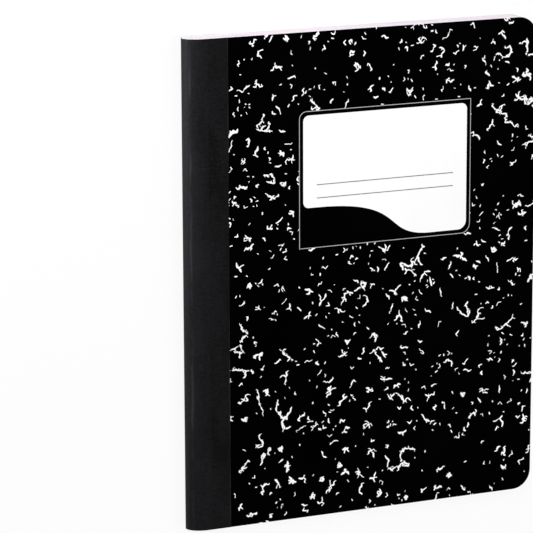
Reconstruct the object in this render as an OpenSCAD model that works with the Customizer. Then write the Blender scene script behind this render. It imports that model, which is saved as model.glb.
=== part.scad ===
// Composition notebook: one folded and sewn section of pages in stiff covers, with a taped spine.
// It lies on its back cover: +Z is up through the front cover, +Y points to the head,
// the spine is at -X and the fore edge at +X. The origin is under the middle of the book.

/* [Notebook] */
// Width from the spine to the fore edge
book_w = 190.5; // [150:0.5:230]
// Height from the tail to the head
book_h = 247.65; // [180:0.05:300]
// Radius of the two rounded corners at the fore edge
corner_r = 10; // [2:0.5:20]

/* [Pages] */
// Thickness of the closed block of pages
pages_t = 10.8; // [6:0.1:16]

/* [Covers] */
// Thickness of each cover board
board_t = 1.1; // [0.6:0.1:2]
// How far the fold's rounding reaches from the spine onto the flat of the covers
round_depth = 9.5; // [5:0.5:15]

/* [Spine tape] */
// Thickness of the cloth tape, which is pressed in level with the covers
tape_t = 0.25; // [0.15:0.05:0.5]
// Width of tape that shows on each cover, from the spine to the tape's edge
tape_w = 21.5; // [16:0.5:40]

/* [Sewing] */
// Diameter of the thread
thread_d = 0.5; // [0.3:0.05:0.7]
// Length of one stitch
stitch_l = 10; // [6:0.5:20]
// Least distance from the head and the tail to the last hole of the sewing
sewing_margin = 8; // [4:0.5:30]

/* [Hidden] */

// Steps of a full circle, and of the half round at the fold
$fn = 96;
FOLD_STEPS = 48;

book_t = pages_t + 2 * board_t;
mid_z = book_t / 2;
spine_x = -book_w / 2;
fore_x = book_w / 2;
flat_x = spine_x + round_depth;
tape_end_x = spine_x + tape_w;

// The thread makes a ladder: one run outside the fold, in a groove of the covers, one run
// inside it, in the centre crease of the pages, and a short length through each hole.
thread_r = thread_d / 2;
rung_r = 0.8 * thread_r;
groove_clear = 0.05;
outer_run_x = spine_x + tape_t + groove_clear + thread_r;
inner_run_x = flat_x;
stitches = floor((book_h - 2 * sewing_margin) / stitch_l);
sewn_l = stitches * stitch_l;

// Cuts run past the solids by this much
past = 1;

cover_colour = [0.06, 0.06, 0.06];
tape_colour = [0.13, 0.13, 0.13];
paper_colour = [0.94, 0.91, 0.93];
thread_colour = [0.96, 0.96, 0.94];

// A point of the half-elliptic fold at angle t, from -90 at the back to 90 at the front,
// at a depth of inset below the outer face. X is first and Z second.
function fold_point(t, inset) =
    [flat_x - (round_depth - inset) * cos(t), mid_z + (mid_z - inset) * sin(t)];

function fold_curve(inset) =
    [for (i = [0:FOLD_STEPS]) fold_point(-90 + 180 * i / FOLD_STEPS, inset)];

// Section of the book at a depth of inset below its outer face, from the fold to x_end
module section(inset, x_end) {
    polygon(concat(
        fold_curve(inset),
        [[x_end, book_t - inset], [x_end, inset]]
    ));
}

// Section of the two covers before they are hollowed, with a shallow seat for the tape
module cover_section() {
    polygon(concat(
        fold_curve(tape_t),
        [[tape_end_x, book_t - tape_t], [tape_end_x, book_t], [fore_x, book_t]],
        [[fore_x, 0], [tape_end_x, 0], [tape_end_x, tape_t]]
    ));
}

// Draws a section in X and Z along the whole height of the book
module along_height() {
    rotate([90, 0, 0])
        linear_extrude(height = book_h, center = true)
            children();
}

// Plan of the book from bottom_z to top_z, with its two corners rounded at the fore edge
module trimmed_block(bottom_z, top_z) {
    straight_w = book_w - corner_r;
    translate([0, 0, bottom_z])
        linear_extrude(height = top_z - bottom_z) {
            translate([spine_x, -book_h / 2])
                square([straight_w, book_h]);
            translate([fore_x - corner_r, -book_h / 2 + corner_r])
                square([corner_r, book_h - 2 * corner_r]);
            for (side = [-1, 1])
                translate([fore_x - corner_r, side * (book_h / 2 - corner_r)])
                    circle(r = corner_r);
        }
}

// A cover from its half of the fold to the fore edge, between two heights
module cover(bottom_z, top_z) {
    color(cover_colour)
        difference() {
            intersection() {
                along_height()
                    difference() {
                        cover_section();
                        section(board_t, fore_x + past);
                    }
                trimmed_block(bottom_z, top_z);
            }
            sewing();
            thread_groove();
        }
}

module front_cover() {
    cover(mid_z, book_t);
}

module back_cover() {
    cover(0, mid_z);
}

// All the folded sheets as one solid, trimmed level with the covers
module page_block() {
    color(paper_colour)
        difference() {
            intersection() {
                along_height()
                    section(board_t, fore_x);
                trimmed_block(board_t, book_t - board_t);
            }
            sewing();
        }
}

// One strip of tape around the fold and onto both covers
module spine_tape() {
    color(tape_colour)
        along_height()
            difference() {
                section(0, tape_end_x);
                section(tape_t, tape_end_x + past);
            }
}

// Opens the outer run's groove to the back of the fold
module thread_groove() {
    translate([spine_x, -sewn_l / 2, mid_z - thread_r])
        cube([outer_run_x - spine_x, sewn_l, thread_d]);
}

module thread_run(x) {
    translate([x, -sewn_l / 2, mid_z])
        rotate([-90, 0, 0])
            cylinder(r = thread_r, h = sewn_l);
}

module sewing() {
    thread_run(outer_run_x);
    thread_run(inner_run_x);
    for (i = [0:stitches])
        translate([outer_run_x, (i - stitches / 2) * stitch_l, mid_z])
            rotate([0, 90, 0])
                cylinder(r = rung_r, h = inner_run_x - outer_run_x);
}

module binding_thread() {
    color(thread_colour)
        sewing();
}

front_cover();
back_cover();
page_block();
spine_tape();
binding_thread();
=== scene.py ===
"""A closed composition notebook: marbled covers with a bare name panel, taped spine, sewn pages.

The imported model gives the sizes. The covers become a card core with a printed sheet on it, the
tape becomes two strips that meet at the fold, and the pages and the thread keep their solids.
Lengths are in metres, and the plan of the print is laid out in millimetres.
"""

import math
import random

import bmesh
import bpy
from mathutils import Matrix, Vector, noise
from mathutils.geometry import delaunay_2d_cdt


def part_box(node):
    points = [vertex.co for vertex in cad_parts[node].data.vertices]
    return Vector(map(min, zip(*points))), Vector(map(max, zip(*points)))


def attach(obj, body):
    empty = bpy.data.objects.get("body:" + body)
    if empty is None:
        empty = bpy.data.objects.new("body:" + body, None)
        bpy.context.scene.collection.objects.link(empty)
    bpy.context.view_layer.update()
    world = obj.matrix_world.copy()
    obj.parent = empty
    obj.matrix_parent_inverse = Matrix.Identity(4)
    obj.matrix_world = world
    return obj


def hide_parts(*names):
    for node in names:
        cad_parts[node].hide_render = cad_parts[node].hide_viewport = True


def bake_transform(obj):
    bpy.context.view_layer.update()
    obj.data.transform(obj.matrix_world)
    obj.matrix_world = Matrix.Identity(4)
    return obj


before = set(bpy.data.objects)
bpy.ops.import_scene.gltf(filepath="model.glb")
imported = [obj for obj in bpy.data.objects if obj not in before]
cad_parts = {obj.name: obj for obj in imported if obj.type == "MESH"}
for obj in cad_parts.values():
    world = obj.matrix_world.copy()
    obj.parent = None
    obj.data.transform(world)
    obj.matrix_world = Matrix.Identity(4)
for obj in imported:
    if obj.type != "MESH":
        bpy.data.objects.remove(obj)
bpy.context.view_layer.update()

MM = 0.001

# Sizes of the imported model
cover_low, cover_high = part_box("front_cover")
pages_low, pages_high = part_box("page_block")
tape_low, tape_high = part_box("spine_tape")
thread_low, thread_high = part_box("binding_thread")
spine_x = tape_low.x
fore_x = cover_high.x
tail_y = cover_low.y
head_y = cover_high.y
book_t = cover_high.z
mid_z = book_t / 2
board_t = book_t - pages_high.z
tape_end_x = tape_high.x
thread_r = (thread_high.z - thread_low.z) / 2
flat_x = thread_high.x - thread_r
round_depth = flat_x - spine_x

# Sizes that no box of the model gives
CORNER_R = 10 * MM
TAPE_T = 0.25 * MM
PRINT_T = 0.14 * MM

# Bevel at the rim of the printed sheet, and how far the tape stands proud
RIM_BEVEL = 0.07 * MM
TAPE_PROUD = 0.06 * MM

# How far the tape clears the parting of the two covers at the fold's tip
TIP_GAP = 0.03 * MM

# Steps of the fold's quarter, of a cover's corner, and of the tape's rounded edge
FOLD_STEPS = 24
CORNER_STEPS = 16
TAPE_EDGE_STEPS = 4

# Degrees of the small extra steps at the fold's tip, where the tape bends, and the angle from
# which an edge of the tape is shaded sharp
TIP_ANGLES = [0.0, 0.9, 1.8, 2.7]
SHARP_ANGLE = 40

# Name panel on the front cover, in millimetres from the middle of the book. A thin line runs
# around a black band, and the band frames the white panel.
LABEL_LEFT = -36.1
LABEL_RIGHT = 58.5
LABEL_TOP = 84.5
LABEL_BOTTOM = 15.3
LABEL_LINE = 0.32
LABEL_ROUND_TOP = 4.0
LABEL_ROUND_BOTTOM = 5.0
PANEL_BAND = 2.2
PANEL_ROUND = 3.0
PANEL_ROUND_BOTTOM = 4.6

# The panel's lower edge is level at the left, then drops in an S between the two steps. The
# shoulder and the foot say how long the S stays nearly level at its two ends.
PANEL_STEP_Y = 35.8
PANEL_STEP_LEFT = -26.0
PANEL_STEP_RIGHT = 36.0
PANEL_SHOULDER = 50.0
PANEL_FOOT = 27.5

# Writing rules on the panel
RULE_W = 0.46
RULE_LEFT = -26.6
RULE_RIGHT = 48.7
RULE_YS = (47.2, 40.5)

# Steps of a rounded corner in the print, and of the S
ROUND_STEPS = 10
CURVE_STEPS = 28

# Floor: half its side, how far it lies below the notebook, and the share of plain white in it
FLOOR_HALF = 4.0
FLOOR_DROP = 0.1 * MM
FLOOR_LIFT = 0.87

# Strength of the daylight that falls on the notebook
DAYLIGHT = 0.5

# Camera: its place, its turn as an axis whose length is the angle in radians, and its lens and
# sensor in millimetres
CAMERA_AT = Vector((-0.65562, 0.35775, 1.40590))
CAMERA_TURN = Vector((-0.22241, -0.40650, -0.05001))
CAMERA_LENS = 212.78
SENSOR_W = 36.0


def grey(value):
    return (value, value, value)


def new_material(name, roughness, specular):
    """An empty procedural material. Returns it with its node tree and its shader."""
    material = bpy.data.materials.new(name)
    material.use_nodes = True
    tree = material.node_tree
    shader = tree.nodes["Principled BSDF"]
    shader.inputs["Roughness"].default_value = roughness
    shader.inputs["Specular IOR Level"].default_value = specular
    return material, tree, shader


def object_coordinates(tree, scale):
    """The piece's own coordinates, stretched by scale along X, Y and Z."""
    place = tree.nodes.new("ShaderNodeTexCoord")
    mapping = tree.nodes.new("ShaderNodeMapping")
    mapping.inputs["Scale"].default_value = scale
    tree.links.new(place.outputs["Object"], mapping.inputs["Vector"])
    return mapping.outputs["Vector"]


def split(tree, vector):
    """The X, Y and Z of a vector."""
    parts = tree.nodes.new("ShaderNodeSeparateXYZ")
    tree.links.new(vector, parts.inputs["Vector"])
    return parts.outputs


def noise_texture(tree, vector, scale, detail=3.0, rough=0.55):
    texture = tree.nodes.new("ShaderNodeTexNoise")
    texture.inputs["Scale"].default_value = scale
    texture.inputs["Detail"].default_value = detail
    texture.inputs["Roughness"].default_value = rough
    tree.links.new(vector, texture.inputs["Vector"])
    return texture.outputs["Fac"]


def colour_ramp(tree, value, stops):
    """Colours along a value. Each stop is a position and a linear colour."""
    ramp = tree.nodes.new("ShaderNodeValToRGB")
    elements = ramp.color_ramp.elements
    while len(elements) < len(stops):
        elements.new(0.5)
    for element, (position, colour) in zip(elements, stops):
        element.position = position
        element.color = (*colour, 1.0)
    tree.links.new(value, ramp.inputs["Fac"])
    return ramp.outputs["Color"]


def map_range(tree, value, low, high, to_low, to_high):
    """Maps low to to_low and high to to_high, and goes no further than either."""
    node = tree.nodes.new("ShaderNodeMapRange")
    node.inputs["From Min"].default_value = low
    node.inputs["From Max"].default_value = high
    node.inputs["To Min"].default_value = to_low
    node.inputs["To Max"].default_value = to_high
    tree.links.new(value, node.inputs["Value"])
    return node.outputs["Result"]


def maths(tree, operation, first, second=0.0):
    """One Math node. Each operand is an output or a number, and some operations take only one."""
    node = tree.nodes.new("ShaderNodeMath")
    node.operation = operation
    for socket, operand in zip(node.inputs, (first, second)):
        if isinstance(operand, (int, float)):
            socket.default_value = operand
        else:
            tree.links.new(operand, socket)
    return node.outputs["Value"]


def mix_colour(tree, factor, first, second):
    """First where the factor is 0 and second where it is 1. Second is a linear colour."""
    node = tree.nodes.new("ShaderNodeMix")
    node.data_type = "RGBA"
    # The node has sockets for each type. Those for colours are inputs 6 and 7, and output 2.
    node.inputs[7].default_value = (*second, 1.0)
    tree.links.new(factor, node.inputs[0])
    tree.links.new(first, node.inputs[6])
    return node.outputs[2]


def mix_shaders(tree, factor, first, second):
    """First where the factor is 0 and second where it is 1."""
    node = tree.nodes.new("ShaderNodeMixShader")
    for socket, output in zip(node.inputs, (factor, first, second)):
        tree.links.new(output, socket)
    return node.outputs["Shader"]


def seen_by_camera(tree):
    """1 in the camera's direct view, and 0 for the light that reaches other surfaces."""
    return tree.nodes.new("ShaderNodeLightPath").outputs["Is Camera Ray"]


def add_bump(tree, shader, height, distance, strength=0.5):
    bump = tree.nodes.new("ShaderNodeBump")
    bump.inputs["Strength"].default_value = strength
    bump.inputs["Distance"].default_value = distance
    tree.links.new(height, bump.inputs["Height"])
    tree.links.new(bump.outputs["Normal"], shader.inputs["Normal"])


def printed_material(name, dark, light, roughness, specular):
    """A grey of the varnished print, with the paper's faint mottle in tone and gloss."""
    material, tree, shader = new_material(name, roughness, specular)
    vector = object_coordinates(tree, (1, 1, 1))
    mottle = noise_texture(tree, vector, 420.0)
    cloud = noise_texture(tree, vector, 28.0, 2.0)
    stops = [(0.35, grey(dark)), (0.65, grey(light))]
    tree.links.new(colour_ramp(tree, cloud, stops), shader.inputs["Base Color"])
    gloss = map_range(tree, mottle, 0.3, 0.7, roughness - 0.04, roughness + 0.05)
    tree.links.new(gloss, shader.inputs["Roughness"])
    add_bump(tree, shader, noise_texture(tree, vector, 1500.0), 0.01 * MM, 0.3)
    return material


def card_material():
    """The white core of the covers, cut through at the trimmed edges."""
    material, tree, shader = new_material("card_core", 0.8, 0.2)
    vector = object_coordinates(tree, (300, 300, 3000))
    fibres = noise_texture(tree, vector, 1.0, 4.0, 0.7)
    stops = [(0.3, (0.90, 0.88, 0.89)), (0.7, (0.97, 0.96, 0.97))]
    tree.links.new(colour_ramp(tree, fibres, stops), shader.inputs["Base Color"])
    add_bump(tree, shader, fibres, 0.05 * MM)
    return material


def lining_material():
    """The smooth white paper inside the covers."""
    material, tree, shader = new_material("cover_lining", 0.7, 0.15)
    vector = object_coordinates(tree, (1, 1, 1))
    mottle = noise_texture(tree, vector, 60.0, 4.0)
    stops = [(0.3, (0.79, 0.79, 0.78)), (0.7, (0.81, 0.81, 0.80))]
    tree.links.new(colour_ramp(tree, mottle, stops), shader.inputs["Base Color"])
    add_bump(tree, shader, noise_texture(tree, vector, 2500.0), 0.02 * MM, 0.3)
    return material


# Painted highlights and wear of the tape. A painted highlight lies along the fold with a wavering
# edge, and a broader part that bends with it is painted paler, as painted light. A painted
# highlight runs beside the fold along a crease, and the tape's edge is worn.
RUB_HIGHLIGHT_W = 2.0 * MM
HIGHLIGHT_WAVER = 1.5 * MM
BENT_W = 11 * MM
BENT_BLUR = 0.5 * MM
CREASE_HIGHLIGHT_AT = 3.0 * MM
CREASE_HIGHLIGHT_W = 0.7 * MM
EDGE_W = 0.5 * MM

# How far the painted highlight along the fold and the paler painted bent part go to the highlight
# colour, and the painted crease highlight to the colour of wear and highlight, and both colours
RUB_HIGHLIGHT_SHARE = 0.40
BENT_HIGHLIGHT_SHARE = 0.18
CREASE_HIGHLIGHT_SHARE = 0.6
FOLD_HIGHLIGHT_COLOUR = (0.0135, 0.0138, 0.0160)
WORN_AND_HIGHLIGHT_COLOUR = (0.030, 0.030, 0.033)


def cloth_with_highlights_and_wear(tree, threads, patches):
    """The colour of the tape's threads, with a painted highlight along the fold and a paler painted
    bent part, and with a painted crease highlight and the worn edge laid over it in patches.
    """
    x = split(tree, object_coordinates(tree, (1, 1, 1)))["X"]
    waver = noise_texture(tree, object_coordinates(tree, (300, 70, 300)), 1.0, 4.0)
    from_spine = maths(tree, "SUBTRACT", x, spine_x)
    wavering = maths(tree, "ADD", from_spine, maths(tree, "MULTIPLY", waver, HIGHLIGHT_WAVER))
    # Painted highlight along the fold, in a band with a wavering edge
    rub_highlight = map_range(tree, wavering, RUB_HIGHLIGHT_W + HIGHLIGHT_WAVER, 0.5 * HIGHLIGHT_WAVER, 0.0, RUB_HIGHLIGHT_SHARE)
    # Painted light: the part that bends round the fold is painted paler
    bent_highlight = map_range(tree, from_spine, BENT_W + BENT_BLUR, BENT_W - BENT_BLUR, 0.0, BENT_HIGHLIGHT_SHARE)
    highlighted = mix_colour(tree, maths(tree, "MAXIMUM", rub_highlight, bent_highlight), threads, FOLD_HIGHLIGHT_COLOUR)
    # Painted highlight in a thin line beside the fold, along a crease; the lighter tape edge below
    # is real wear
    off_crease_highlight = maths(tree, "ABSOLUTE", maths(tree, "SUBTRACT", wavering, CREASE_HIGHLIGHT_AT))
    crease_highlight = map_range(tree, off_crease_highlight, CREASE_HIGHLIGHT_W, 0.0, 0.0, CREASE_HIGHLIGHT_SHARE)
    edge = map_range(tree, x, tape_end_x - EDGE_W, tape_end_x, 0.0, 1.0)
    highlight_and_wear_patches = map_range(tree, patches, 0.46, 0.60, 0.1, 0.9)
    wear_and_highlight = maths(tree, "MULTIPLY", maths(tree, "ADD", crease_highlight, edge), highlight_and_wear_patches)
    return mix_colour(tree, wear_and_highlight, highlighted, WORN_AND_HIGHLIGHT_COLOUR)


def tape_material():
    """Black book cloth under a thin satin coating, with a painted highlight along the fold."""
    material, tree, shader = new_material("book_cloth", 0.55, 0.095)
    warp = noise_texture(tree, object_coordinates(tree, (2300, 160, 2300)), 1.0, 4.0, 0.7)
    weft = noise_texture(tree, object_coordinates(tree, (260, 2300, 260)), 1.0, 3.0, 0.6)
    grain = noise_texture(tree, object_coordinates(tree, (1, 1, 1)), 900.0, 2.0)
    patches = noise_texture(tree, object_coordinates(tree, (90, 30, 90)), 1.0, 3.0)
    weave = maths(tree, "ADD", warp, weft)
    total = maths(tree, "ADD", weave, maths(tree, "ADD", grain, patches))
    stops = [(0.43, (0.0001, 0.0001, 0.0003)), (0.57, (0.0062, 0.0062, 0.0074))]
    threads = colour_ramp(tree, maths(tree, "MULTIPLY", total, 1 / 4), stops)
    tree.links.new(cloth_with_highlights_and_wear(tree, threads, patches), shader.inputs["Base Color"])
    gloss = map_range(tree, patches, 0.3, 0.7, 0.48, 0.62)
    tree.links.new(gloss, shader.inputs["Roughness"])
    add_bump(tree, shader, weave, 0.06 * MM, 0.6)
    return material


def thread_material():
    """White sewing thread with a fine twist."""
    material, tree, shader = new_material("sewing_thread", 0.7, 0.25)
    twist = noise_texture(tree, object_coordinates(tree, (4000, 1500, 4000)), 1.0, 2.0)
    stops = [(0.3, (0.70, 0.69, 0.66)), (0.7, (0.88, 0.88, 0.85))]
    tree.links.new(colour_ramp(tree, twist, stops), shader.inputs["Base Color"])
    add_bump(tree, shader, twist, 0.1 * MM)
    return material


# Streaks of the sheets' edges: how fine they are along the sheets and across them, per metre,
# and a shift that makes those above the middle differ from those below
STREAKS_ALONG = 12.0
STREAKS_ACROSS = 3200.0
STREAK_SHIFT = 0.02

# Ruling of the pages
LINE_PITCH = 8.73 * MM
FIRST_LINE = 31 * MM
LINE_HALF_W = 0.13 * MM
MARGIN_FROM_EDGE = 32 * MM
PAPER_COLOUR = (0.84, 0.83, 0.815)
LINE_COLOUR = (0.40, 0.58, 0.80)
MARGIN_COLOUR = (0.80, 0.32, 0.38)

# Parts of a face's normal: beyond the first the face is a trimmed edge, beyond the second it
# looks up or down, and beyond the third it is flat enough to be ruled
TRIMMED = 0.1
UPWARD = 0.5
FLAT = 0.97


def sheet_depth(tree, x, z):
    """How deep a sheet lies in the section: its distance from the middle, bent round the fold."""
    squeeze = (mid_z - board_t) / (round_depth - board_t)
    into_fold = maths(tree, "MAXIMUM", maths(tree, "SUBTRACT", flat_x, x), 0.0)
    across = maths(tree, "MULTIPLY", into_fold, squeeze)
    up = maths(tree, "SUBTRACT", z, mid_z)
    across_squared = maths(tree, "MULTIPLY", across, across)
    up_squared = maths(tree, "MULTIPLY", up, up)
    distance = maths(tree, "SQRT", maths(tree, "ADD", across_squared, up_squared))
    shift = maths(tree, "MULTIPLY", maths(tree, "SIGN", up), STREAK_SHIFT)
    return maths(tree, "ADD", distance, shift)


def sheet_streaks(tree, x, y, z):
    """Fine streaks that run along the sheets and follow them round the fold."""
    place = tree.nodes.new("ShaderNodeCombineXYZ")
    tree.links.new(maths(tree, "MULTIPLY", x, STREAKS_ALONG), place.inputs["X"])
    tree.links.new(maths(tree, "MULTIPLY", y, STREAKS_ALONG), place.inputs["Y"])
    depth = sheet_depth(tree, x, z)
    tree.links.new(maths(tree, "MULTIPLY", depth, STREAKS_ACROSS), place.inputs["Z"])
    return noise_texture(tree, place.outputs["Vector"], 1.0, 4.0, 0.75)


def writing_lines(tree, y):
    """1 on each writing line, from the first one down to the tail."""
    down = maths(tree, "SUBTRACT", head_y - FIRST_LINE, y)
    on_line = maths(tree, "LESS_THAN", maths(tree, "PINGPONG", down, LINE_PITCH / 2), LINE_HALF_W)
    return maths(tree, "MULTIPLY", on_line, maths(tree, "GREATER_THAN", down, -LINE_HALF_W))


def margin_line(tree, x, line_x, page):
    """1 on the margin line at line_x, where page is 1."""
    distance = maths(tree, "ABSOLUTE", maths(tree, "SUBTRACT", x, line_x))
    return maths(tree, "MULTIPLY", maths(tree, "LESS_THAN", distance, LINE_HALF_W), page)


def page_material():
    """White sheets: fine streaks where their edges show, and ruling on the outermost pages."""
    material, tree, shader = new_material("paper_sheets", 0.75, 0.2)
    place = tree.nodes.new("ShaderNodeTexCoord")
    x, y, z = split(tree, place.outputs["Object"])
    normal_x, normal_y, up = split(tree, place.outputs["Normal"])

    # Trimmed faces look out to the fore edge, the head or the tail
    sideways = maths(tree, "MAXIMUM", normal_x, maths(tree, "ABSOLUTE", normal_y))
    trimmed = maths(tree, "GREATER_THAN", sideways, TRIMMED)
    streaks = sheet_streaks(tree, x, y, z)
    stops = [(0.30, (0.58, 0.48, 0.55)), (0.46, (0.79, 0.715, 0.77)), (0.7, (0.90, 0.83, 0.89))]
    edge_colour = colour_ramp(tree, streaks, stops)
    paper = mix_colour(tree, maths(tree, "SUBTRACT", 1.0, trimmed), edge_colour, PAPER_COLOUR)

    # Ruling, on the faces that look up or down
    flat_face = maths(tree, "GREATER_THAN", maths(tree, "ABSOLUTE", up), FLAT)
    lines = maths(tree, "MULTIPLY", writing_lines(tree, y), flat_face)
    ruled = mix_colour(tree, lines, paper, LINE_COLOUR)
    top_page = maths(tree, "GREATER_THAN", up, UPWARD)
    bottom_page = maths(tree, "LESS_THAN", up, -UPWARD)
    top_margin = margin_line(tree, x, spine_x + MARGIN_FROM_EDGE, top_page)
    bottom_margin = margin_line(tree, x, fore_x - MARGIN_FROM_EDGE, bottom_page)
    margins = maths(tree, "ADD", top_margin, bottom_margin)
    tree.links.new(mix_colour(tree, margins, ruled, MARGIN_COLOUR), shader.inputs["Base Color"])
    add_bump(tree, shader, maths(tree, "MULTIPLY", streaks, trimmed), 0.06 * MM)
    return material


def floor_material():
    """Near-white floor. The camera sees it lifted to white, and it keeps the notebook's shadow."""
    material, tree, shader = new_material("floor", 0.9, 0.0)
    shader.inputs["Base Color"].default_value = (*grey(0.9), 1.0)
    glow = tree.nodes.new("ShaderNodeEmission")
    glow.inputs["Color"].default_value = (*grey(1.0), 1.0)
    glow.inputs["Strength"].default_value = 1.0
    lift = maths(tree, "MULTIPLY", seen_by_camera(tree), FLOOR_LIFT)
    lifted = mix_shaders(tree, lift, shader.outputs["BSDF"], glow.outputs["Emission"])
    tree.links.new(lifted, tree.nodes["Material Output"].inputs["Surface"])
    return material


def make_piece(name, points, faces, materials, face_materials=None, smooth=()):
    """A mesh object from points, faces and the material number of each face."""
    mesh = bpy.data.meshes.new(name)
    mesh.from_pydata(points, [], faces)
    for material in materials:
        mesh.materials.append(material)
    if face_materials:
        mesh.polygons.foreach_set("material_index", face_materials)
    for index in smooth:
        mesh.polygons[index].use_smooth = True
    mesh.validate()
    piece = bpy.data.objects.new(name, mesh)
    bpy.context.scene.collection.objects.link(piece)
    return piece


def tidy_solid(piece):
    """Merges equal points, drops empty faces and turns every face outwards."""
    bm = bmesh.new()
    bm.from_mesh(piece.data)
    bmesh.ops.remove_doubles(bm, verts=bm.verts, dist=1e-7)
    bmesh.ops.dissolve_degenerate(bm, edges=bm.edges, dist=1e-7)
    bmesh.ops.recalc_face_normals(bm, faces=bm.faces)
    bm.to_mesh(piece.data)
    bm.free()


def arc(centre_x, centre_y, radius, start, end, steps):
    """Points of an arc, with its angles in degrees."""
    angles = [math.radians(start + (end - start) * i / steps) for i in range(steps + 1)]
    return [(centre_x + radius * math.cos(a), centre_y + radius * math.sin(a)) for a in angles]


def rounded_box(left, bottom, right, top, radii):
    """A box whose corners are rounded. The radii run from the lower left anticlockwise."""
    corners = [
        (left, bottom, 1, 1, 180),
        (right, bottom, -1, 1, 270),
        (right, top, -1, -1, 0),
        (left, top, 1, -1, 90),
    ]
    outline = []
    for (x, y, in_x, in_y, start), radius in zip(corners, radii):
        if radius == 0:
            outline.append((x, y))
        else:
            centre_x = x + in_x * radius
            centre_y = y + in_y * radius
            outline += arc(centre_x, centre_y, radius, start, start + 90, ROUND_STEPS)
    return outline


def bezier(ends, t):
    """The value at t of a cubic curve with these four control values."""
    a, b, c, d = ends
    u = 1 - t
    return u**3 * a + 3 * u**2 * t * b + 3 * u * t**2 * c + t**3 * d


def panel_outline():
    """The white field of the name panel: a box whose lower edge drops in one long S."""
    left = LABEL_LEFT + PANEL_BAND
    right = LABEL_RIGHT - PANEL_BAND
    top = LABEL_TOP - PANEL_BAND
    bottom = LABEL_BOTTOM + PANEL_BAND
    step_corner = arc(left + PANEL_ROUND, PANEL_STEP_Y + PANEL_ROUND, PANEL_ROUND,
                      180, 270, ROUND_STEPS)
    shoulder_x = PANEL_STEP_LEFT + PANEL_SHOULDER
    foot_x = PANEL_STEP_RIGHT - PANEL_FOOT
    curve = []
    for i in range(CURVE_STEPS + 1):
        x = bezier((PANEL_STEP_LEFT, shoulder_x, foot_x, PANEL_STEP_RIGHT), i / CURVE_STEPS)
        y = bezier((PANEL_STEP_Y, PANEL_STEP_Y, bottom, bottom), i / CURVE_STEPS)
        curve.append((x, y))
    box = rounded_box(left, bottom, right, top, (0, PANEL_ROUND_BOTTOM, PANEL_ROUND, PANEL_ROUND))
    return step_corner + curve + box[1:]


def label_outline(inset):
    """The label's outline, drawn in by inset. The lower right and upper left corners are round."""
    bottom_round = LABEL_ROUND_BOTTOM - inset
    top_round = LABEL_ROUND_TOP - inset
    return rounded_box(LABEL_LEFT + inset, LABEL_BOTTOM + inset, LABEL_RIGHT - inset,
                       LABEL_TOP - inset, (0, bottom_round, 0, top_round))


def label_shapes():
    """The closed outlines of the label, from the largest to the smallest, with their inks."""
    shapes = [
        ("line", label_outline(0)),
        ("ink", label_outline(LABEL_LINE)),
        ("panel", panel_outline()),
    ]
    for y in RULE_YS:
        low, high = y - RULE_W / 2, y + RULE_W / 2
        shapes.append(("rule", rounded_box(RULE_LEFT, low, RULE_RIGHT, high, (0, 0, 0, 0))))
    return shapes


def turned(heading, degrees):
    return heading + math.radians(degrees)


def stepped(point, heading, length):
    return (point[0] + length * math.cos(heading), point[1] + length * math.sin(heading))


def any_heading(rng):
    return rng.uniform(0, math.tau)


# The figures of the marbled print, with lengths and widths in millimetres and bends in degrees.
# Each one is a list of strokes, and a stroke is a list of points with a half width at each.


def line_of(rng, start, heading, count, lengths, bend, sharp, wide):
    """An angular stroke of count steps. Sharp is the chance of a sharp corner after a step."""
    points = [(start, wide * rng.uniform(0.5, 0.9))]
    sense = rng.choice((-1, 1))
    for i in range(count):
        taper = 0.55 if i == count - 1 else 1.0
        place = stepped(points[-1][0], heading, rng.uniform(*lengths))
        points.append((place, wide * taper * rng.uniform(0.4, 1.5)))
        corner = rng.random() < sharp
        angle = rng.uniform(60, 110) if corner else rng.uniform(5, bend)
        heading = turned(heading, sense * angle)
        sense = -sense if rng.random() < 0.7 else sense
    return points


def broken(rng, stroke, chance):
    """Splits a stroke where some of its steps are left out."""
    parts = [[]]
    for point in stroke:
        if rng.random() < chance:
            parts.append([])
        parts[-1].append(point)
    return [part for part in parts if len(part) > 1]


def speck(rng, start):
    """One short straight step."""
    return [line_of(rng, start, any_heading(rng), count=1, lengths=(0.3, 1.4), bend=0, sharp=0,
                    wide=rng.uniform(0.27, 0.48))]


def tick(rng, start):
    """Two or three steps, mostly with sharp corners."""
    count = rng.choice((2, 2, 3))
    return [line_of(rng, start, any_heading(rng), count, lengths=(0.7, 1.9), bend=60, sharp=0.7,
                    wide=rng.uniform(0.25, 0.44))]


def streak(rng, start):
    """A stroke of middle length that wavers a little."""
    count = rng.randint(4, 9)
    return [line_of(rng, start, any_heading(rng), count, lengths=(0.6, 1.4), bend=55, sharp=0.25,
                    wide=rng.uniform(0.24, 0.40))]


def cluster(rng, start):
    """A few small pieces that lie close together."""
    strokes = []
    first = rng.uniform(0, 360)
    count = rng.randint(3, 6)
    for i in range(count):
        heading = math.radians(first + 360 * i / count + rng.uniform(-20, 20))
        piece = speck if rng.random() < 0.6 else tick
        strokes += piece(rng, stepped(start, heading, rng.uniform(1.2, 2.6)))
    return strokes


def row(rng, start):
    """Small pieces one after another along a bent line."""
    strokes = []
    place = start
    heading = any_heading(rng)
    for _ in range(rng.randint(3, 6)):
        piece = rng.choice((speck, tick, tick))
        strokes += piece(rng, place)
        heading = turned(heading, rng.uniform(-35, 35))
        place = stepped(place, heading, rng.uniform(2.0, 3.2))
    return strokes


def star(rng, start):
    """Some arms out of one heavy middle."""
    arms = rng.choice((3, 3, 4, 5))
    first = rng.uniform(0, 360)
    wide = rng.uniform(0.30, 0.54)
    strokes = []
    for i in range(arms):
        heading = math.radians(first + 360 * i / arms + rng.uniform(-28, 28))
        count = rng.choice((1, 2, 2, 3, 4))
        strokes.append(line_of(rng, start, heading, count, (0.6, 1.7), 55, 0.35, wide))
    return strokes


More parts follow.
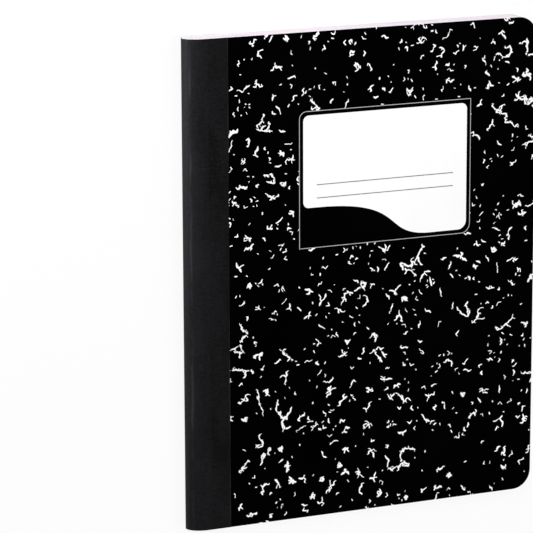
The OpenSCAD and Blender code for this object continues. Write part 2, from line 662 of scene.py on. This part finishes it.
def worm(rng, start):
    """A long crooked stroke, broken here and there, with side spurs and heavy spots."""
    wide = rng.uniform(0.25, 0.38)
    count = rng.choice((8, 12, 16, 24, 32))
    main = line_of(rng, start, any_heading(rng), count, (0.7, 1.5), 46, 0.16, wide)
    strokes = broken(rng, main, 0.12)
    for point, _ in main:
        chance = rng.random()
        heading = any_heading(rng)
        if chance < 0.42:
            count = rng.choice((1, 1, 2))
            strokes.append(line_of(rng, point, heading, count, (0.7, 1.4), 60, 0.3, wide * 0.9))
        elif chance < 0.52:
            count = rng.randint(3, 6)
            strokes.append(line_of(rng, point, heading, count, (0.7, 1.5), 50, 0.3, wide))
        elif chance < 0.64:
            strokes.append(line_of(rng, point, heading, 1, (0.5, 0.9), 0, 0, wide * 1.9))
    return strokes


def knot(rng, start):
    """A scribble that keeps turning back over itself and leaves small holes."""
    point = start
    wide = rng.uniform(0.2, 0.3)
    reach = rng.uniform(1.5, 3.0)
    points = [(point, wide)]
    for _ in range(rng.randint(9, 16)):
        target = stepped(start, any_heading(rng), reach * rng.uniform(0.5, 1.0))
        heading = math.atan2(target[1] - point[1], target[0] - point[0])
        length = min(math.dist(point, target), rng.uniform(1.0, 2.0)) + 0.3
        point = stepped(point, heading, length)
        points.append((point, wide * rng.uniform(0.7, 1.3)))
    return [points]


# The share of each figure, how many there are on a cover, and the seed of each cover's print
FIGURES = [
    (speck, 0.22),
    (tick, 0.20),
    (star, 0.19),
    (streak, 0.09),
    (cluster, 0.07),
    (row, 0.06),
    (worm, 0.13),
    (knot, 0.04),
]
FIGURE_COUNT = 645
FRONT_SEED = 17
BACK_SEED = 29

# Least gap between two figures, the size of the dense and the bare patches, and the chance
# that a figure is kept: between the patches, and how much the patches change it
CLEARANCE = 1.2
PATCH = 17
KEPT = 0.5
KEPT_CHANGE = 0.9


def pick_figure(rng):
    chance = rng.random()
    for figure, share in FIGURES:
        if chance < share:
            return figure
        chance -= share
    return speck


def marbling(seed, low, high):
    """Strokes of the marbled print over a box. A figure too near to an earlier one is dropped."""
    rng = random.Random(seed)
    taken = set()
    strokes = []
    placed = 0
    while placed < FIGURE_COUNT:
        start = (rng.uniform(low[0], high[0]), rng.uniform(low[1], high[1]))
        patchy = noise.noise(Vector((start[0] / PATCH, start[1] / PATCH, seed)))
        density = KEPT + KEPT_CHANGE * patchy
        figure = pick_figure(rng)(rng, start)
        if rng.random() > density:
            continue
        points = [point for stroke in figure for point, _ in stroke]
        cells = {(math.floor(x / CLEARANCE), math.floor(y / CLEARANCE)) for x, y in points}
        around = {(i + a, j + b) for i, j in cells for a in (-1, 0, 1) for b in (-1, 0, 1)}
        if around & taken:
            continue
        taken |= cells
        strokes += figure
        placed += 1
    return strokes


def shard(first, second):
    """The six corners of one step of a stroke, anticlockwise, with a point at either end."""
    (ax, ay), ra = first
    (bx, by), rb = second
    length = math.dist((ax, ay), (bx, by))
    ux, uy = (bx - ax) / length, (by - ay) / length
    return [
        (ax - ux * ra, ay - uy * ra),
        (ax + uy * ra, ay - ux * ra),
        (bx + uy * rb, by - ux * rb),
        (bx + ux * rb, by + uy * rb),
        (bx - uy * rb, by + ux * rb),
        (ax - uy * ra, ay + ux * ra),
    ]


def cover_plan(inset):
    """Plan of the printed part of a cover in millimetres, drawn in from its trimmed edges."""
    left = tape_end_x / MM
    right = fore_x / MM - inset
    bottom = tail_y / MM + inset
    top = head_y / MM - inset
    radius = CORNER_R / MM - inset
    return rounded_box(left, bottom, right, top, (0, radius, radius, 0))


def print_plan(seed, shapes):
    """Splits the cover's plan into triangles along every printed outline.

    Returns the points, the triangles and the ink of each one.
    """
    outlines = [cover_plan(RIM_BEVEL / MM)] + [outline for _, outline in shapes]
    low = (tape_end_x / MM, tail_y / MM)
    high = (fore_x / MM, head_y / MM)
    for stroke in marbling(seed, low, high):
        outlines += [shard(first, second) for first, second in zip(stroke, stroke[1:])]
    points = []
    loops = []
    for outline in outlines:
        loops.append(list(range(len(points), len(points) + len(outline))))
        points += [Vector(p) for p in outline]
    # Output type 1 gives the triangles that lie inside the outlines, and True adds their owners
    made = delaunay_2d_cdt(points, [], loops, 1, 1e-5, True)
    plan, triangles, owners = made[0], made[2], made[5]

    # The owners of a triangle are the outlines around it: 0 is the cover, then come the label's
    # shapes, whose smallest gives the ink and hides any fleck, and then the flecks
    kept = []
    inks = []
    for triangle, owner in zip(triangles, owners):
        if 0 not in owner:
            continue
        shape = max(i for i in owner if i <= len(shapes))
        if shape > 0:
            ink = shapes[shape - 1][0]
        else:
            ink = "fleck" if len(owner) > 1 else "ink"
        kept.append(triangle)
        inks.append(ink)
    return plan, kept, inks


def outward(x, y):
    """Direction in the plan that leads square off the cover's nearest trimmed edge."""
    core_x = min(x, fore_x - CORNER_R)
    core_y = min(max(y, tail_y + CORNER_R), head_y - CORNER_R)
    direction = Vector((x - core_x, y - core_y))
    return direction.normalized() if direction.length > 0 else Vector((0, 0))


def drawn_down(bm, rim, away, z):
    """Extrudes a rim outwards by away and on to the height z. Returns the new rim and its faces."""
    made = bmesh.ops.extrude_edge_only(bm, edges=rim)["geom"]
    for vert in (part for part in made if isinstance(part, bmesh.types.BMVert)):
        vert.co += (outward(vert.co.x, vert.co.y) * away).to_3d()
        vert.co.z = z
    new_rim = [part for part in made if isinstance(part, bmesh.types.BMEdge)]
    sides = [part for part in made if isinstance(part, bmesh.types.BMFace)]
    return new_rim, sides


# Order of the inks in a printed sheet's materials
INK_ORDER = ["ink", "fleck", "line", "panel", "rule", "paper"]


def print_piece(name, seed, shapes, outer_z, under_z, inks):
    """The printed sheet of a cover: its face at outer_z, with a bevelled rim, down to under_z."""
    plan, triangles, triangle_inks = print_plan(seed, shapes)
    facing = 1 if outer_z > under_z else -1
    bm = bmesh.new()
    verts = {}
    for triangle, ink in zip(triangles, triangle_inks):
        for i in triangle:
            if i not in verts:
                verts[i] = bm.verts.new((plan[i].x * MM, plan[i].y * MM, outer_z))
        face = bm.faces.new([verts[i] for i in triangle[::facing]])
        face.material_index = INK_ORDER.index(ink)
    rim = [edge for edge in bm.edges if edge.is_boundary]
    rim, _ = drawn_down(bm, rim, RIM_BEVEL, outer_z - facing * RIM_BEVEL)
    rim, sides = drawn_down(bm, rim, 0.0, under_z)
    under = bmesh.ops.contextual_create(bm, geom=rim)["faces"]
    for face in sides + under:
        face.material_index = INK_ORDER.index("paper")
    bmesh.ops.recalc_face_normals(bm, faces=bm.faces)
    mesh = bpy.data.meshes.new(name)
    bm.to_mesh(mesh)
    bm.free()
    for ink in INK_ORDER:
        mesh.materials.append(inks[ink])
    piece = bpy.data.objects.new(name, mesh)
    bpy.context.scene.collection.objects.link(piece)
    return piece


def fold_point(t, inset):
    """A point of the half-elliptic fold at t degrees, as x and z."""
    x = flat_x - (round_depth - inset) * math.cos(math.radians(t))
    z = mid_z + (mid_z - inset) * math.sin(math.radians(t))
    return x, z


def half_height(x):
    """Half the cover's height at x, with the corners rounded at the fore edge."""
    over = max(x - (fore_x - CORNER_R), 0.0)
    return head_y - CORNER_R + math.sqrt(max(CORNER_R**2 - over**2, 0.0))


def board_stations():
    """Stations of the card core from the fold to the fore edge: x, z outside and x, z inside."""
    stations = []
    for i in range(FOLD_STEPS + 1):
        t = 90 * i / FOLD_STEPS
        stations.append((fold_point(t, TAPE_T), fold_point(t, board_t)))
    inner_z = book_t - board_t
    stations.append(((tape_end_x, book_t - TAPE_T), (tape_end_x, inner_z)))
    stations.append(((tape_end_x, book_t - PRINT_T), (tape_end_x, inner_z)))
    for i in range(CORNER_STEPS + 1):
        x = fore_x - CORNER_R + CORNER_R * math.sin(math.radians(90 * i / CORNER_STEPS))
        stations.append(((x, book_t - PRINT_T), (x, inner_z)))
    return stations


def board_piece(name, facing, card, lining):
    """The card core of the front cover, or of the back one with facing -1."""
    points = []
    for (outer_x, outer_z), (inner_x, inner_z) in board_stations():
        half = half_height(outer_x)
        ring = [
            (outer_x, half, outer_z),
            (outer_x, -half, outer_z),
            (inner_x, -half, inner_z),
            (inner_x, half, inner_z),
        ]
        points += [(x, y, mid_z + facing * (z - mid_z)) for x, y, z in ring]

    # Side 2 of each ring is the inner face, which has the lining
    faces = []
    materials = []
    count = len(points) // 4
    for i in range(count - 1):
        for side in range(4):
            a, b = 4 * i + side, 4 * i + (side + 1) % 4
            faces.append((a, b, b + 4, a + 4))
            materials.append(1 if side == 2 else 0)
    faces += [(3, 2, 1, 0), tuple(range(4 * count - 4, 4 * count))]
    materials += [0, 0]
    piece = make_piece(name, points, faces, [card, lining], materials)
    tidy_solid(piece)
    return piece


def tape_section():
    """Section of the front half of the tape: out along its face, round its edge and back."""
    angles = TIP_ANGLES + [90 * i / FOLD_STEPS for i in range(1, FOLD_STEPS + 1)]
    outer = [fold_point(t, -TAPE_PROUD) for t in angles]
    inner = [fold_point(0.0, TAPE_T - TIP_GAP)] + [fold_point(t, TAPE_T) for t in angles[1:]]
    edge = arc(tape_end_x - TAPE_PROUD, book_t, TAPE_PROUD, 90, 0, TAPE_EDGE_STEPS)
    return outer + edge + [(tape_end_x, book_t - TAPE_T)] + inner[::-1]


def tape_piece(name, facing, cloth):
    """One half of the tape, from the fold to its edge on a cover."""
    section = tape_section()
    count = len(section)
    points = [(x, y, mid_z + facing * (z - mid_z)) for y in (tail_y, head_y) for x, z in section]
    faces = [(i, (i + 1) % count, (i + 1) % count + count, i + count) for i in range(count)]
    faces += [tuple(range(count)), tuple(range(count, 2 * count))]
    piece = make_piece(name, points, faces, [cloth], smooth=range(count))
    tidy_solid(piece)
    piece.data.set_sharp_from_angle(angle=math.radians(SHARP_ANGLE))
    return piece


def dress_node(name, material):
    """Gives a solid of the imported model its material."""
    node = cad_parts[name]
    node.data.materials.clear()
    node.data.materials.append(material)


def set_world():
    """Soft daylight from all sides, and plain white behind everything."""
    world = bpy.data.worlds.new("studio")
    bpy.context.scene.world = world
    world.use_nodes = True
    tree = world.node_tree
    soft = tree.nodes["Background"]
    soft.inputs["Color"].default_value = (*grey(1.0), 1.0)
    soft.inputs["Strength"].default_value = DAYLIGHT
    white = tree.nodes.new("ShaderNodeBackground")
    white.inputs["Color"].default_value = (*grey(1.0), 1.0)
    white.inputs["Strength"].default_value = 1.0
    mixed = mix_shaders(tree, seen_by_camera(tree), soft.outputs["Background"],
                        white.outputs["Background"])
    tree.links.new(mixed, tree.nodes["World Output"].inputs["Surface"])


def area_light(name, place, aim, size, power, spread=180):
    """A round lamp that is turned to its aim. The spread of its beam is in degrees."""
    light = bpy.data.lights.new(name, "AREA")
    light.shape = "DISK"
    light.size = size
    light.energy = power
    light.spread = math.radians(spread)
    lamp = bpy.data.objects.new(name, light)
    lamp.location = place
    lamp.rotation_euler = (Vector(aim) - Vector(place)).to_track_quat("-Z", "Y").to_euler()
    bpy.context.scene.collection.objects.link(lamp)


def add_camera():
    data = bpy.data.cameras.new("camera")
    data.sensor_width = SENSOR_W
    data.lens = CAMERA_LENS
    camera = bpy.data.objects.new("camera", data)
    bpy.context.scene.collection.objects.link(camera)
    turn = Matrix.Rotation(CAMERA_TURN.length, 4, CAMERA_TURN)
    camera.matrix_world = Matrix.Translation(CAMERA_AT) @ turn
    bpy.context.scene.camera = camera


# Materials
card = card_material()
lining = lining_material()
cloth = tape_material()
inks = {
    "ink": printed_material("cover_ink", 0.0002, 0.0005, 0.42, 0.005),
    "fleck": printed_material("marble_white", 0.94, 0.97, 0.5, 0.2),
    "line": printed_material("label_line", 0.44, 0.50, 0.5, 0.2),
    "panel": printed_material("panel_white", 0.95, 0.97, 0.5, 0.2),
    "rule": printed_material("label_rule", 0.12, 0.18, 0.5, 0.2),
    "paper": card,
}

# Covers
covers = [("front", 1, FRONT_SEED, label_shapes()), ("back", -1, BACK_SEED, [])]
for side, facing, seed, shapes in covers:
    board = board_piece(f"{side}_board", facing, card, lining)
    outer_z = mid_z + facing * mid_z
    under_z = outer_z - facing * PRINT_T
    sheet = print_piece(f"{side}_print", seed, shapes, outer_z, under_z, inks)
    for piece in (board, sheet):
        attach(piece, side)
        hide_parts(f"{side}_cover")

# Tape
for side, facing in (("front", 1), ("back", -1)):
    strip = tape_piece(f"tape_{side}_half", facing, cloth)
    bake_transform(strip)
    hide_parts("spine_tape")

# Pages and thread
dress_node("page_block", page_material())
dress_node("binding_thread", thread_material())

# Floor
floor_corners = [(-1, -1), (1, -1), (1, 1), (-1, 1)]
floor_points = [(x * FLOOR_HALF, y * FLOOR_HALF, -FLOOR_DROP) for x, y in floor_corners]
floor = make_piece("floor", floor_points, [(0, 1, 2, 3)], [floor_material()])

# Light. The low lamp grazes the spine from the side, and its narrow beam is aimed at the head.
set_world()
area_light("key", place=(-0.9, 0.9, 1.6), aim=(0, 0, 0), size=1.2, power=19)
area_light("fill", place=(0.6, 0.5, 1.5), aim=(0, 0, 0), size=0.8, power=3.5)
area_light("low", place=(-1.15, 0.27, 0.11), aim=(spine_x, 0.12, mid_z), size=0.2, power=0.34,
           spread=24)

# Camera
add_camera()
bpy.context.scene.view_settings.view_transform = "Standard"
